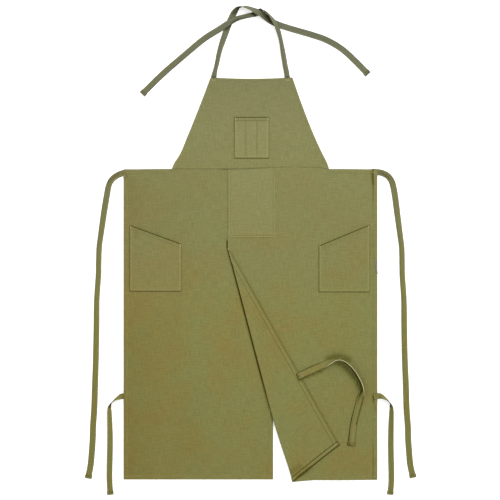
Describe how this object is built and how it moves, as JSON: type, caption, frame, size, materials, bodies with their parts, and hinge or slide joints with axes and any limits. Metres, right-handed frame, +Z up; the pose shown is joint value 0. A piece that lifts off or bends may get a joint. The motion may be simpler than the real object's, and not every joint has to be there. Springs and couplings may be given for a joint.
{
  "type": "pottery apron",
  "caption": "Canvas apron for work at a potter's wheel, laid flat: bib with neck ties, split skirt with overlapping leg panels, patch pockets, waist ties and leg ties.",
  "frame": {"origin": "on the surface that the laid apron rests on, under the middle of its box", "axes": "+Z up from the surface, +Y from the hem towards the neck ties, +X to the right as seen from above"},
  "size_m": [0.8767, 1.2963, 0.0195],
  "materials": {
    "canvas": "olive cotton canvas, plain weave, matt",
    "tie": "the same canvas folded and sewn into flat ties, matt",
    "label": "woven tape, blank, slightly shiny"
  },
  "bodies": {
    "root": {"bib": "canvas", "bib_pocket": "canvas", "left_leg_panel": "canvas", "right_leg_panel": "canvas", "left_pocket": "canvas", "right_pocket": "canvas", "neck_tie_left": "tie", "neck_tie_right": "tie", "waist_tie_left": "tie", "waist_tie_right": "tie", "leg_tie_left_outer": "tie", "leg_tie_right_outer": "tie", "leg_tie_right_inner": "tie", "leg_tie_left_inner": "tie", "side_tag": "label"}
  },
  "joints": []
}
